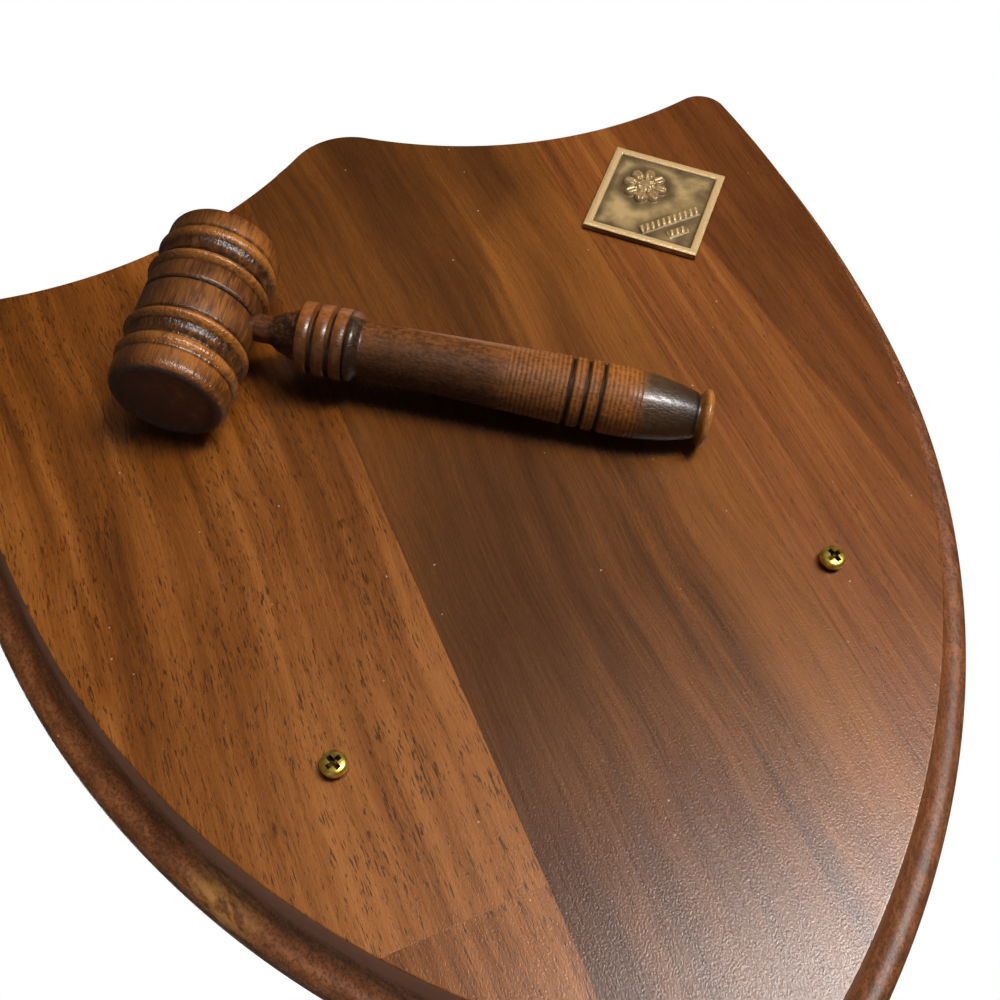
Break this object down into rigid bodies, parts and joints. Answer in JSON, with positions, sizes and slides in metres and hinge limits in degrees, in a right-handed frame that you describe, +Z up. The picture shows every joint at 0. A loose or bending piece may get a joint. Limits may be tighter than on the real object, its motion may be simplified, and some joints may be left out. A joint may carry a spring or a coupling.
{
  "type": "presentation plaque",
  "caption": "Shield-shaped walnut presentation plaque with an ogee edge, a small turned gavel, a square metal medallion and bare nameplate screws.",
  "frame": {"origin": "on the flat back of the board, on its middle line at half its height, where it lies against the wall", "axes": "+Z up towards the shield's peak, +X to the right as seen from the front, -Y out of the show face"},
  "size_m": [0.2286, 0.0471, 0.259],
  "materials": {
    "walnut_board": "satin lacquer over oiled walnut staves",
    "turned_walnut": "glossy lacquer over stained, turned walnut",
    "medallion_bronze": "antiqued brass, dark in the recesses and rubbed bright on the raised parts",
    "screw_brass": "bright brass with dulled recesses"
  },
  "bodies": {
    "root": {"shield_board": "walnut_board", "gavel_head": "turned_walnut", "gavel_handle": "turned_walnut", "medallion": "medallion_bronze", "screw_left": "screw_brass", "screw_right": "screw_brass"}
  },
  "joints": []
}
